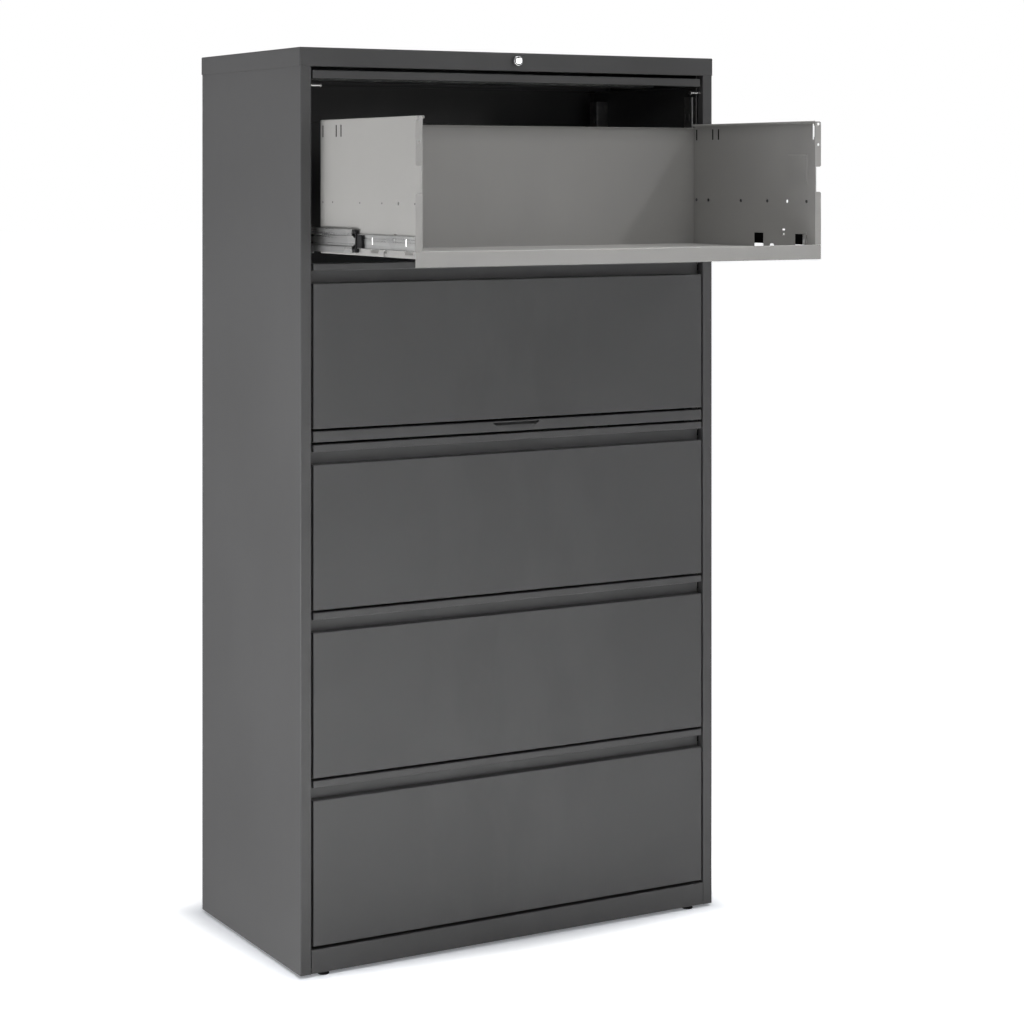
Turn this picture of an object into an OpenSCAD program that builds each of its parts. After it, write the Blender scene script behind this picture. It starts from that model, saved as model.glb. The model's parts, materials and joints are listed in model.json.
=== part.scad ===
// Five-high lateral filing cabinet with a roll-out file shelf, a receding door,
// four drawers and a slim posting shelf. Millimetres, +Z up, front towards -Y,
// origin on the floor under the middle of the case.

/* [Case] */
// Width over the two side panels
case_w = 914.4; // [760:0.1:1100]
// Depth from the front plane to the rear face
case_d = 473.1; // [390:0.1:570]
// Height of the body's lower edge above the floor
foot_h = 6; // [4:0.5:12]
// Thickness of the sheet steel
sheet_t = 1; // [0.8:0.1:1.2]
// Radius of the bends, on the outer face
bend_r = 2; // [1.6:0.1:2.4]
// Width of the front posts that the side panels fold into
post_w = 22; // [18:0.5:28]
// Depth of the fold behind each front post
post_d = 18; // [14:0.5:18]
// Height of the top cap's skirt
cap_h = 35.2; // [28:0.1:42]
// How far the top cap stands out over each side panel
cap_overhang = 2; // [1.5:0.1:5]
// Radius of the top cap's edges
cap_r = 3; // [1.5:0.5:4]
// Height of the rail under the lowest drawer
base_h = 44; // [36:0.5:60]

/* [Fronts] */
// Height of one drawer front
front_h = 306; // [250:0.5:370]
// Gap between a front and a post
side_gap = 4.2; // [3:0.1:6]
// Gap between one front and the next
front_gap = 4.4; // [3:0.1:6]
// Gap above the base rail
base_gap = 5.7; // [4:0.1:8]
// Gap under the roll-out shelf
lip_gap = 5.3; // [4:0.1:8]
// Height of the lip above the full-width pull
lip_h = 13.1; // [10:0.1:18]
// Height of the full-width pull recess
pull_h = 23.7; // [18:0.1:30]
// Depth of the full-width pull recess
pull_d = 18; // [12:0.5:18]
// Depth of a front, face to rear
front_d = 20; // [20:0.5:21]
// Height of the posting shelf's front
posting_h = 20.4; // [18:0.1:26]
// Width of the posting shelf's finger scoop, at its top
scoop_w = 106; // [80:1:130]
// Depth of the posting shelf's finger scoop
scoop_d = 8; // [6:0.5:13]

/* [Top bay] */
// Height from the roll-out shelf's lower edge to the top cap
bay_h = 359.5; // [330:0.5:431.5]
// Thickness of the receding door
door_t = 16; // [14:0.5:19]
// Gap between the door and the top cap
door_top_gap = 6.5; // [5:0.1:9]
// Set-back of the door from the front plane
door_setback = 4; // [2:0.5:8]
// Height of the roll-out shelf's front lip
rollout_lip_h = 27.5; // [24:0.5:32]
// Height of the file sides
side_h = 246; // [205:1:296]
// Width of the roll-out sides' front flanges
flange_w = 12.4; // [10:0.1:13]
// How far the roll-out shelf stands out
rollout_out = 425.7; // [0:0.1:425.7]

/* [Slides] */
// Overall thickness of a ball-bearing slide
slide_t = 12.7; // [12.7:0.1:14]
// Height of a slide's cabinet member
outer_h = 52.2; // [51:0.1:53]
// Height of a slide's middle member
middle_h = 43.6; // [42.5:0.1:44.2]
// Height of a slide's drawer member
inner_h = 26; // [24:0.1:28]
// Thickness of a slide's steel
slide_wall = 1.2; // [1:0.1:1.3]
// Height of a slide's centre above the foot of its unit
slide_rise = 39.5; // [36:0.5:50]

/* [Lock] */
// Diameter of the chrome lock face
lock_face_d = 20; // [18:0.5:22]
// How far the lock face stands out
lock_proud = 10; // [5:0.5:12]
// Diameter of the turning plug
plug_d = 12; // [10:0.5:13]
// Diameter of the vertical lock rod
rod_d = 3.2; // [2.8:0.1:3.4]
// Throw of the lock's cam
cam_throw = 8; // [6:0.5:9]

/* [Glides] */
// Diameter of a glide's foot
glide_d = 22; // [20:0.5:26]
// Diameter of a glide's threaded stem
stem_d = 8; // [6:0.5:9]
// Distance of a glide from the side of the case
glide_inset = 52; // [45:0.5:90]

/* [Hidden] */
$fn = 40;

seat = 0.2;    // gap between pieces of one assembly that lie against each other
run = 0.4;     // least gap between pieces that slide past each other
fit = 0.05;    // radial clearance of a shaft that turns in its bore
small = 0.01;  // overlap of a cutting tool with a surface

// Heights of the stack, from the floor up
half_w = case_w / 2;
base_top = foot_h + base_h;
pitch = front_h + front_gap;
stack_z = base_top + base_gap;
posting_z = stack_z + 3 * pitch;
bay_z = posting_z + posting_h + front_gap + front_h + lip_gap;
cap_z = bay_z + bay_h;
case_h = cap_z + cap_h;
drawer_z = [0, 0, posting_z + posting_h + front_gap, stack_z + 2 * pitch, stack_z + pitch, stack_z];

// Widths, as distances from the middle plane
front_x = half_w - post_w - side_gap;   // side edge of every front
inner_x = half_w - sheet_t - seat;      // just inside a side panel
slide_x = front_x - 2.6;                // cabinet side of a slide
side_x = slide_x - slide_t;             // outer face of a file side
rod_x = front_x + run + rod_d / 2;
back_y = case_d - sheet_t - seat;       // rear face of the back panel

// Depths
side_y = 22;                            // front edge of a file side, pushed in
side_l = case_d - 67;
side_end = side_y + side_l;
outer_y = 25;
outer_end = case_d - 18;
middle_y = 62.8;
middle_end = case_d - 15;
inner_y = 47.5;
inner_end = side_end - 3;
upright_w = 30;
front_upright_y = 30;
rear_upright_y = case_d - 75;

// Door and its track
door_z = cap_z - door_top_gap - door_t;
door_l = bay_h - 5.5;
door_end = door_setback + door_l;
pin_y = door_end - 12;
pin_z = door_z + door_t / 2;
roller_d = 14;
track_play = 0.6;

// Lock
lock_z = cap_z + cap_h * 0.543;
cam_y = 24;
cam_t = 1.6;
link_y = cam_y + cam_t + 1.4;
link_t = 1.5;
link_z = lock_z - cam_throw;
rod_y = post_d + 3;

// Slots and holes of a file side, measured back from its front edge and up from its foot
rail_slots = [6.7, side_l - 87, side_l - 67, side_l - 10];
slot_w = 4.4;
slot_h = 22;
slot_drop = 10;                         // slot's upper end below the side's upper edge
screw_row = [27, 89, 153, 241, side_l - 52, side_l - 10];
screw_row_z = 94.5;
screw_d = 3.4;
open_hole_d = 6.6;                      // second hole of the row, which carries no screw
rail_rows = [rail_slots[0], rail_slots[1]];
rail_t = 2;

// ---------------------------------------------------------------- sheet work

function unit(v) = v / norm(v);
function left_of(v) = [-v.y, v.x];
function turned(v, a) = [v.x * cos(a) - v.y * sin(a), v.x * sin(a) + v.y * cos(a)];
function reversed(list) = [for (i = [len(list) - 1:-1:0]) list[i]];

// Points of one bend of a path, on the face that lies off to its left
function bend_points(a, b, c, r, off) =
    let (u = unit(b - a),
         w = unit(c - b),
         way = sign(cross(u, w)),
         angle = acos(u * w),
         steps = max(2, round(angle / 30)),
         centre = b - u * r * tan(angle / 2) + left_of(u) * way * r)
    [for (i = [0:steps]) centre - turned(left_of(u), way * angle * i / steps) * (way * r - off)];

function face_points(path, r, off) = concat(
    [path[0] + left_of(unit(path[1] - path[0])) * off],
    [for (i = [1:len(path) - 2]) each bend_points(path[i - 1], path[i], path[i + 1], r, off)],
    [path[len(path) - 1] + left_of(unit(path[len(path) - 1] - path[len(path) - 2])) * off]);

// Section of a sheet folded along a path, with its metal to the left of the path
module folded(path, t = sheet_t, r = bend_r) {
    polygon(concat(face_points(path, r, 0), reversed(face_points(path, r, t))));
}

// Plan section, raised from z0 to z1
module upright_run(z0, z1) {
    translate([0, 0, z0]) linear_extrude(z1 - z0) children();
}

// Section drawn as depth and height, run across from x0 to x1
module cross_run(x0, x1) {
    translate([x0, 0, 0]) rotate([90, 0, 90]) linear_extrude(x1 - x0) children();
}

// Section drawn as width and height, run back from y0 to y1
module depth_run(y0, y1) {
    translate([0, y1, 0]) rotate([90, 0, 0]) linear_extrude(y1 - y0) children();
}

module box(low, high) {
    translate(low) cube(high - low);
}

// Right-hand piece as drawn, or its mirror image for the left
module on_side(side) {
    mirror([side < 0 ? 1 : 0, 0, 0]) children();
}

module both_sides() {
    for (side = [-1, 1]) on_side(side) children();
}

// Round bar along the depth, from y0 to y1
module bar_y(x, z, d, y0, y1) {
    translate([x, y1, z]) rotate([90, 0, 0]) cylinder(d = d, h = y1 - y0);
}

// Round bar across, from x0 to x1
module bar_x(y, z, d, x0, x1) {
    translate([x0, y, z]) rotate([0, 90, 0]) cylinder(d = d, h = x1 - x0);
}

// Everything is drawn with y measured back from the front plane
module placed(shift = 0) {
    translate([0, -case_d / 2 - shift, 0]) children();
}

// ---------------------------------------------------------------- case

rivet_d = 4;
rivet_z = [for (z = [90:150:case_h - 60]) z];
rivet_x = half_w - 8;
rear_fold = 15;

module side_panel(side) {
    color("dimgray") placed() on_side(side) difference() {
        upright_run(foot_h, case_h - sheet_t - cap_r) folded([
            [half_w - post_w, post_d], [half_w - post_w, 0], [half_w, 0],
            [half_w, case_d], [half_w - rear_fold, case_d]]);
        // clearance for the top cap's skirt
        box([half_w - post_w - 1, -1, cap_z - seat], [half_w + 1, sheet_t + run, case_h]);
        box([half_w - post_w - 1, -1, cap_z - seat], [half_w - sheet_t - 1, post_d + 1, case_h]);
        box([half_w - rear_fold - 1, case_d - sheet_t - run, cap_z - seat], [half_w + 1, case_d + 1, case_h]);
        for (z = rivet_z) bar_y(rivet_x, z, rivet_d + 0.2, case_d - 3, case_d + 1);
    }
}

module back_panel() {
    edge = half_w - sheet_t - seat;
    color("dimgray") placed() difference() {
        upright_run(foot_h + 2, case_h - sheet_t - cap_r) folded([
            [edge, back_y - rear_fold], [edge, back_y], [-edge, back_y], [-edge, back_y - rear_fold]]);
        both_sides() for (z = rivet_z) bar_y(rivet_x, z, rivet_d + 0.2, case_d - 5, case_d + 1);
    }
}

module panel_rivets() {
    color("gray") placed() both_sides() for (z = rivet_z) {
        bar_y(rivet_x, z, rivet_d, back_y - sheet_t - 1, case_d);
        translate([rivet_x, case_d, z]) rotate([-90, 0, 0]) cylinder(d1 = 8, d2 = 5, h = 1.4);
        translate([rivet_x, back_y - sheet_t - 1.4, z]) rotate([-90, 0, 0]) cylinder(d = 6, h = 1.4);
    }
}

// Block with the cap's outline, made smaller by inset on every closed side
module cap_block(inset) {
    x = half_w + cap_overhang - inset;
    r = max(cap_r - inset, 0.5);
    top = case_h - inset;
    bottom = cap_z - (inset > 0 ? 1 : 0);
    intersection() {
        depth_run(inset, case_d - inset) rounded_top([-x, x], [bottom, top], r);
        cross_run(-x, x) rounded_top([inset, case_d - inset], [bottom, top], r);
        upright_run(bottom, top) rounded_plate([-x, x], [inset, case_d - inset], r);
    }
}

module rounded_top(x, z, r) {
    polygon(concat([[x[0], z[0]], [x[1], z[0]]],
        [for (a = [0:22.5:90]) [x[1] - r + r * cos(a), z[1] - r + r * sin(a)]],
        [for (a = [90:22.5:180]) [x[0] + r + r * cos(a), z[1] - r + r * sin(a)]]));
}

module rounded_plate(x, y, r) {
    polygon([for (q = [0:3]) for (a = [0:22.5:90])
        let (cx = (q == 0 || q == 3) ? x[1] - r : x[0] + r,
             cy = q < 2 ? y[1] - r : y[0] + r)
        [cx + r * cos(a + 90 * q), cy + r * sin(a + 90 * q)]]);
}

module top_cap() {
    color("dimgray") placed() difference() {
        union() {
            difference() {
                cap_block(0);
                cap_block(sheet_t);
            }
            box([-inner_x + seat, sheet_t / 2, cap_z], [inner_x - seat, post_d - 1, cap_z + sheet_t]);
        }
        bar_y(0, lock_z, barrel_d + 0.4, -2, 4);
    }
}

module header_rail() {
    y = sheet_t + run;
    z = cap_z + sheet_t + seat;
    color("dimgray") placed() difference() {
        cross_run(-inner_x + seat, inner_x - seat) folded([
            [y + 12, case_h - sheet_t - seat], [y, case_h - sheet_t - seat], [y, z],
            [post_d - 1, z], [post_d - 1, z + 8]]);
        bar_y(0, lock_z, barrel_d + 0.4, 0, 4);
    }
}

rail_edge = half_w - post_w - 0.6;

module base_rail() {
    color("dimgray") placed() difference() {
        cross_run(-rail_edge, rail_edge) folded([
            [front_d, base_top], [0, base_top], [0, foot_h], [front_d, foot_h]]);
        both_sides() translate([half_w - glide_inset, glide_front_y, 0])
            cylinder(d = stem_d + 6, h = foot_h + 3);
    }
}

module base_pan() {
    edge = inner_x - sheet_t - 2 * seat;
    front = front_d + 4;
    back = case_d - 4;
    pan_z = foot_h + 11;
    color("dimgray") placed() difference() {
        cross_run(-edge, edge) folded([
            [back, foot_h + 2], [back, pan_z], [front, pan_z], [front, foot_h + 2]]);
        both_sides() translate([half_w - glide_inset, glide_rear_y, 0]) cylinder(d = stem_d + 4, h = 40);
    }
}

// Channels that carry the slides, slotted for the slides' hooks
module uprights() {
    foot = foot_h + 11 + seat;
    top = door_z - 20;
    color("gray") placed() both_sides() for (y = [front_upright_y, rear_upright_y]) difference() {
        upright_run(foot, top) folded([
            [inner_x, y + upright_w], [slide_x + seat, y + upright_w], [slide_x + seat, y], [inner_x, y]]);
        for (z = [foot + 25:50:top - 20]) for (slot = [y + upright_w / 2 - 6, y + upright_w / 2 + 6])
            box([slide_x - 1, slot - 1.5, z], [slide_x + 3, slot + 1.5, z + 14]);
    }
}

module door_tracks() {
    low = pin_z - roller_d / 2 - track_play - sheet_t;
    high = pin_z + roller_d / 2 + track_play + sheet_t;
    color("gray") placed() both_sides()
        depth_run(outer_y + 3, case_d - 8 - rear_fold) folded([
            [front_x + 6, low], [inner_x, low], [inner_x, high], [front_x + 6, high]]);
}

stud_d = 5;
stud_l = 22.5;

module door_support_studs() {
    z = door_z - stud_d / 2 - 10;
    color("silver") placed() both_sides() {
        bar_x(post_d - 6, z, stud_d, half_w - post_w - stud_l, half_w - post_w);
        bar_x(post_d - 6, z, stud_d + 3, half_w - post_w - 1.5, half_w - post_w);
        bar_x(post_d - 6, z, stud_d + 4, half_w - post_w - stud_l - 1, half_w - post_w - stud_l);
    }
}

// ---------------------------------------------------------------- slides

// Slide section, drawn with its cabinet side at 0 and growing towards the drawer
module slide_run(z, y0, y1) {
    both_sides() translate([slide_x, 0, z]) mirror([1, 0, 0]) depth_run(y0, y1) children();
}

module outer_section() {
    w = outer_h / 2;
    lip = 9.8;
    folded([[lip, w - 4], [lip, w], [0, w], [0, -w], [lip, -w], [lip, -w + 4]], slide_wall);
}

module middle_section() {
    w = middle_h / 2;
    folded([[slide_t - 2.2, w], [2.5, w], [2.5, 9.8], [5.5, 9], [5.5, -9], [2.5, -9.8], [2.5, -w],
            [slide_t - 2.2, -w]], slide_wall, slide_wall);
}

module inner_section() {
    w = inner_h / 2;
    folded([[slide_t - 5, -w], [slide_t, -w], [slide_t, w], [slide_t - 5, w]], slide_wall, slide_wall + 0.4);
}

function unit_z(i) = i == 1 ? bay_z : drawer_z[i];

module slide_outers() {
    color("silver") placed() for (i = [1:5])
        slide_run(unit_z(i) + slide_rise, outer_y, outer_end) outer_section();
}

tongue_l = 9;

// Middle member: runs out half as far as its drawer
module slide_middle(i, out = 0) {
    z = unit_z(i) + slide_rise;
    color("silver") placed(out / 2) difference() {
        union() {
            slide_run(z, middle_y, middle_end) middle_section();
            // tongue at the front of the web
            both_sides() translate([slide_x - 5.5 - slide_wall, 0, z]) cross_run(0, slide_wall) polygon([
                [middle_y + 1, -8], [middle_y - tongue_l, -5], [middle_y - tongue_l, 5], [middle_y + 1, 8]]);
        }
        both_sides() bar_x(middle_y + 240, z, 8, slide_x - 12, slide_x);
    }
}

// Drawer member: screwed to the file side, with lanced keyhole slots
module slide_inner(i, out = 0) {
    z = unit_z(i) + slide_rise;
    color("silver") placed(out) difference() {
        slide_run(z, inner_y, inner_end) inner_section();
        both_sides() for (y = [inner_y + 30.6, inner_y + 162])
            box([side_x - 1, y, z - 5], [side_x + 3, y + 5, z + 8]);
        both_sides() bar_x(inner_y + 76, z + 6, 4, side_x - 1, side_x + 3);
    }
}

// Catch at the front of the middle member: a block between the drawer member's
// flanges, with a hook over each of them
module slide_latches(i, out = 0) {
    z = unit_z(i) + slide_rise;
    back = middle_y - tongue_l - seat;
    x = side_x + 5 + run;                     // clear of the drawer member's flanges
    inside = inner_h / 2 - slide_wall - run;
    outside = inner_h / 2 + run;
    reach = middle_h / 2 - 1.6;
    color("black") placed(out / 2) both_sides() {
        box([side_x + slide_wall + run, back - 22, z - inside], [x + 0.6, back, z + inside]);
        box([x, back - 3, z - reach], [x + 2.4, back, z + reach]);
        for (low = [z - reach, z + outside])
            box([side_x + 2, back - 3, low], [x + 3.6, middle_y - seat, low + reach - outside]);
    }
}

// ---------------------------------------------------------------- file sides, trays and rails

hem_w = 4.6;

// Plate with a bottom ledge and a hemmed upper edge; y0 is its front edge
module side_plate(z, y0) {
    difference() {
        depth_run(y0, side_end) folded([
            [side_x - 14, z], [side_x, z], [side_x, z + side_h], [side_x - hem_w, z + side_h],
            [side_x - hem_w, z + side_h - 5]]);
        for (y = rail_slots)
            box([side_x - 3, side_y + y - slot_w / 2, z + side_h - slot_drop - slot_h],
                [side_x + 1, side_y + y + slot_w / 2, z + side_h - slot_drop]);
        // the front slot is taller and widens towards the front
        box([side_x - 3, side_y + rail_slots[0] - slot_w / 2, z + side_h - slot_drop - slot_h - 3],
            [side_x + 1, side_y + rail_slots[0] + slot_w / 2, z + side_h - 5.4]);
        box([side_x - 3, side_y + rail_slots[0] - 4.2, z + side_h - slot_drop - slot_h + 2],
            [side_x + 1, side_y + rail_slots[0], z + side_h - slot_drop + 1]);
        for (y = screw_row) bar_x(side_y + y, z + screw_row_z, screw_d, side_x - 3, side_x + 1);
        bar_x(side_y + screw_row[1], z + screw_row_z, open_hole_d, side_x - 3, side_x + 1);
        // windows for the tray's hooks, and the tool notch between them
        for (y = [33.7, 166.7])
            box([side_x - 3, side_y + y, z + 6], [side_x + 1, side_y + y + 30, z + 33]);
        box([side_x - 3, side_y + 96, z + 28], [side_x + 1, side_y + 105, z + 42]);
        box([side_x - 3, side_y + 26.5, z + 16], [side_x + 1, side_y + 29.5, z + 36]);
        bar_x(side_y + 138.7, z + 6, 16, side_x - 3, side_x + 1);
    }
}

// Pressed triangle that stiffens the front of a side, standing in from the plate
module pressed_triangle(z) {
    translate([side_x - sheet_t - 1.2, 0, 0]) cross_run(0, 1.4) polygon([
        [side_y + 22.5, z + 126], [side_y + 88, z + 184], [side_y + 22.5, z + 184]]);
}

side_foot = 14;   // file side's lower edge above the foot of its unit

module rollout_side(side) {
    z = bay_z + side_foot;
    lip_top = bay_z + rollout_lip_h;
    edge = side_x + flange_w;
    notch = [z + 113, z + 160];
    color("darkgray") placed(rollout_out) on_side(side) difference() {
        union() {
            side_plate(z, side_y);
            // front flange: two tabs with rounded corners, joined by a narrow strip
            depth_run(side_y, side_y + sheet_t) difference() {
                union() {
                    rounded_plate([side_x - 9, edge], [notch[1], z + side_h - 1], 4);
                    rounded_plate([side_x - 9, edge], [lip_top + seat, notch[0]], 4);
                    translate([side_x - sheet_t, lip_top + seat]) square([sheet_t + flange_w, 9]);
                    translate([side_x - sheet_t, notch[0] - 4]) square([2.2, notch[1] - notch[0] + 8]);
                }
                translate([side_x - 10, z]) square([10 - sheet_t, side_h]);
            }
            pressed_triangle(z);
        }
        // room for the front lip
        box([side_x - 20, side_y - 1, z - 1], [side_x + 1, side_y + 9, lip_top + seat]);
        for (drop = [6, 44.5]) bar_y(edge - 6, z + side_h - drop, 5.5, side_y - 1, side_y + 3);
    }
}

module rollout_lip() {
    edge = side_x + flange_w;
    top = bay_z + rollout_lip_h;
    color("darkgray") placed(rollout_out) difference() {
        cross_run(-edge, edge) folded([
            [side_y + 8, bay_z + 20], [side_y + 8, top], [side_y, top],
            [side_y, bay_z], [side_y + 20, bay_z]]);
        // its folds stop short of the cabinet's slides
        both_sides() box([side_x + 1, side_y + bend_r, bay_z - 1], [edge + 1, side_y + 21, top + 1]);
    }
}

// Floor with its side folds, and the back, as one sheet
module tray(z, front, rise, top) {
    edge = side_x - sheet_t - 2 * seat;
    back = side_end - seat;
    cross_run(-edge, edge) folded([
        [front, z + rise], [front, z], [back, z], [back, top], [back - 8, top]]);
    both_sides() box([edge - sheet_t, front + 4, z - 4], [edge, back - 4, z + sheet_t / 2]);
}

module rollout_tray() {
    color("darkgray") placed(rollout_out)
        tray(bay_z + side_foot + 5.4, side_y + 8.6, 6, bay_z + side_foot + side_h - 7);
}

module drawer_front(i) {
    z = drawer_z[i];
    face_top = z + front_h - lip_h - pull_h;
    lip_z = z + front_h - lip_h;
    top = z + front_h;
    color("dimgray") placed() {
        cross_run(-front_x, front_x) folded([
            [front_d - 1, top], [0, top], [0, lip_z], [pull_d, lip_z], [pull_d, face_top], [0, face_top],
            [0, z], [front_d - 1, z]]);
        both_sides() {
            upright_run(z + sheet_t / 2, face_top - sheet_t / 2) folded([
                [front_x, sheet_t / 2], [front_x, front_d], [front_x - 32, front_d]]);
            box([front_x - sheet_t, sheet_t / 2, lip_z + sheet_t / 2], [front_x, pull_d, top - sheet_t / 2]);
        }
    }
}

module drawer_sides(i) {
    z = drawer_z[i] + side_foot;
    y = front_d + seat / 2;
    color("darkgray") placed() both_sides() difference() {
        union() {
            side_plate(z, y);
            box([side_x - 18, y, z + 1],
                [side_x - sheet_t / 2, y + sheet_t, z + side_h - slot_drop - slot_h - 4]);
        }
        for (rise = [40, 160]) bar_y(side_x - 10, z + rise, 5, y - 1, y + 3);
    }
}

module drawer_tray(i) {
    z = drawer_z[i] + side_foot + 5.4;
    color("darkgray") placed() tray(z, front_d + sheet_t + 2 * seat, 30, z + side_h - 13);
}

// Strips that the hanging folders hook over, with tabs in the sides' slots
module hang_rails(i) {
    z = drawer_z[i] + side_foot + side_h - slot_drop - slot_h;
    inner = side_x - sheet_t - seat;
    color("silver") placed() for (row = rail_rows) {
        y = side_y + row;
        box([-inner, y - rail_t / 2, z + 1], [inner, y + rail_t / 2, z + slot_h - 1]);
        box([-side_x, y - rail_t / 2, z + 3], [side_x, y + rail_t / 2, z + slot_h - 3]);
        cross_run(-inner, inner) translate([y, z + slot_h - 2]) circle(d = rail_t + 1.4);
    }
}

// ---------------------------------------------------------------- posting shelf

scoop_top = posting_h - 2.6;
scoop_bottom = 4.4;

// Finger scoop: a trapezoid seen from the front, shallow below and deepest under its upper edge
module scoop(grow) {
    low = scoop_bottom - grow;
    high = scoop_top + grow;
    knee = scoop_bottom + 7.5 - 0.7 * grow;
    slant = 18;
    intersection() {
        depth_run(-2, scoop_d + grow) polygon([
            [-scoop_w / 2 - grow, high], [-scoop_w / 2 + slant - grow, low],
            [scoop_w / 2 - slant + grow, low], [scoop_w / 2 + grow, high]]);
        cross_run(-scoop_w, scoop_w) polygon([
            [-2 + 2.5 * grow, low], [grow / 2, low], [2 + grow, knee],
            [scoop_d + grow, scoop_top - 1.5 - 0.7 * grow], [scoop_d + grow, high], [-2 + 2.5 * grow, high]]);
    }
}

module posting_shelf_front() {
    color("dimgray") placed() translate([0, 0, posting_z]) difference() {
        union() {
            cross_run(-front_x, front_x) folded([
                [front_d - 2, posting_h], [0, posting_h], [0, 0], [front_d - 2, 0]]);
            scoop(sheet_t);
            both_sides() box([front_x - sheet_t, sheet_t / 2, sheet_t / 2],
                             [front_x, front_d - 2, posting_h - sheet_t / 2]);
        }
        scoop(0);
    }
}

module posting_shelf_tray() {
    web = side_x - 3;
    ledge = slide_x - 4;
    top = posting_h - 4;
    back = side_end - 8;
    front = front_d - 2 + seat;
    color("darkgray") placed() translate([0, 0, posting_z]) {
        depth_run(front, back) folded([
            [ledge, 4], [web, 4], [web, top], [-web, top], [-web, 4], [-ledge, 4]]);
        for (y = [front, back - sheet_t])
            box([-web + sheet_t / 2, y, 4], [web - sheet_t / 2, y + sheet_t, top - sheet_t / 2]);
    }
}

module posting_shelf_guides() {
    color("gray") placed() translate([0, 0, posting_z]) both_sides()
        depth_run(outer_y + 1, outer_end) folded([
            [side_x + 0.4, 0.5], [slide_x, 0.5], [slide_x, 8], [side_x + 0.4, 8]]);
}

// ---------------------------------------------------------------- door

module door_panel() {
    lip = 13;
    end_x = front_x - sheet_t / 2;
    color("dimgray") placed() translate([0, 0, door_z]) {
        cross_run(-front_x, front_x) folded([
            [door_end - lip, 0], [door_end, 0], [door_end, door_t], [door_setback, door_t],
            [door_setback, 0], [door_setback + lip, 0]]);
        both_sides() difference() {
            union() {
                box([front_x - sheet_t, door_setback + 0.5, 0.5], [front_x, door_end - 0.5, door_t - 0.5]);
                box([front_x - lip, door_setback + lip, 0], [end_x, door_end - lip, sheet_t]);
            }
            bar_x(pin_y, door_t / 2, pin_hole_d, front_x - 3, front_x + 1);
        }
    }
}

module door_stiffener() {
    middle = (door_setback + door_end) / 2;
    top = door_t - sheet_t - seat;
    edge = front_x - 20;
    color("gray") placed() translate([0, 0, door_z]) cross_run(-edge, edge) folded([
        [middle + 60, top], [middle + 42, top], [middle + 34, 3], [middle - 34, 3], [middle - 42, top],
        [middle - 60, top]]);
}

pin_d = 8;
pin_hole_d = pin_d + 0.4;

// Stub pins at the door's rear corners, each with its roller in the track
module door_pivot_pins() {
    color("silver") placed() both_sides() {
        bar_x(pin_y, pin_z, pin_d, front_x - 4, inner_x - sheet_t - 1);
        bar_x(pin_y, pin_z, pin_d + 4, front_x - 4, front_x - sheet_t - seat);
        bar_x(pin_y, pin_z, roller_d, front_x + 8, inner_x - sheet_t - 2);
    }
}

// ---------------------------------------------------------------- lock

barrel_d = 17.6;

module lock_housing() {
    color("silver") placed() difference() {
        union() {
            translate([0, -lock_proud + 1, lock_z]) rotate([-90, 0, 0])
                cylinder(d = lock_face_d, h = lock_proud - 1);
            translate([0, -lock_proud, lock_z]) rotate([-90, 0, 0])
                cylinder(d1 = lock_face_d - 2, d2 = lock_face_d, h = 1);
            bar_y(0, lock_z, barrel_d, 0, cam_y - 1);
            // hexagonal nut behind the header rail
            translate([0, 2 * sheet_t + run + seat, lock_z]) rotate([-90, 0, 0])
                cylinder(d = 27, h = 4, $fn = 6);
        }
        bar_y(0, lock_z, plug_d + 2 * fit, -lock_proud - 1, cam_y + 1);
    }
}

tenon_d = 6;

module lock_plug() {
    face = -lock_proud - 0.4;
    color("silver") placed() difference() {
        union() {
            bar_y(0, lock_z, plug_d, face, cam_y);
            bar_y(0, lock_z, tenon_d, face, cam_y + cam_t + 0.5);
        }
        // keyway
        box([-1, face - 1, lock_z - 4.2], [1, face + 14, lock_z + 4.2]);
    }
}

cam_pin_d = 4;

module lock_cam() {
    color("gray") placed() {
        difference() {
            union() {
                bar_y(0, lock_z, 16, cam_y, cam_y + cam_t);
                bar_y(0, link_z, 8, cam_y, cam_y + cam_t);
                box([-4, cam_y, link_z], [4, cam_y + cam_t, lock_z]);
            }
            bar_y(0, lock_z, tenon_d + 0.1, cam_y - 1, cam_y + cam_t + 1);
        }
        bar_y(0, link_z, cam_pin_d, cam_y + cam_t / 2, link_y + link_t + 1.5);
    }
}

rod_pin_d = 3;

// Flat bar driven sideways by the cam; its sloped slot lifts the rod
module lock_link() {
    half_slot = cam_pin_d / 2 + 2.5;
    slope_w = rod_pin_d + 1.6;
    color("gray") placed() difference() {
        union() {
            box([0, link_y, link_z - 4], [rod_x, link_y + link_t, link_z + 5]);
            box([-half_slot - 4, link_y, link_z - 5], [half_slot + 4, link_y + link_t, lock_z + 6]);
            box([rod_x - cam_throw - 6, link_y, link_z - 5],
                [rod_x + 6, link_y + link_t, link_z + cam_throw + 6]);
        }
        box([-half_slot, link_y - 1, link_z - 3], [half_slot, link_y + link_t + 1, lock_z + 4]);
        for (s = [0:0.125:1])
            bar_y(rod_x - cam_throw * s, link_z + cam_throw * s, slope_w, link_y - 1, link_y + link_t + 1);
    }
}

latch_tabs = [for (i = [2:5]) drawer_z[i] + front_h - 60];

module lock_rod() {
    color("silver") placed() {
        translate([rod_x, rod_y, stack_z + 8]) cylinder(d = rod_d, h = link_z + 3 - stack_z - 8);
        bar_y(rod_x, link_z, rod_pin_d, rod_y, link_y + link_t + 1.5);
        for (z = latch_tabs)
            box([rod_x - rod_d / 2, rod_y, z], [rod_x + rod_d / 2, rod_y + 6, z + 9]);
    }
}

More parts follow.
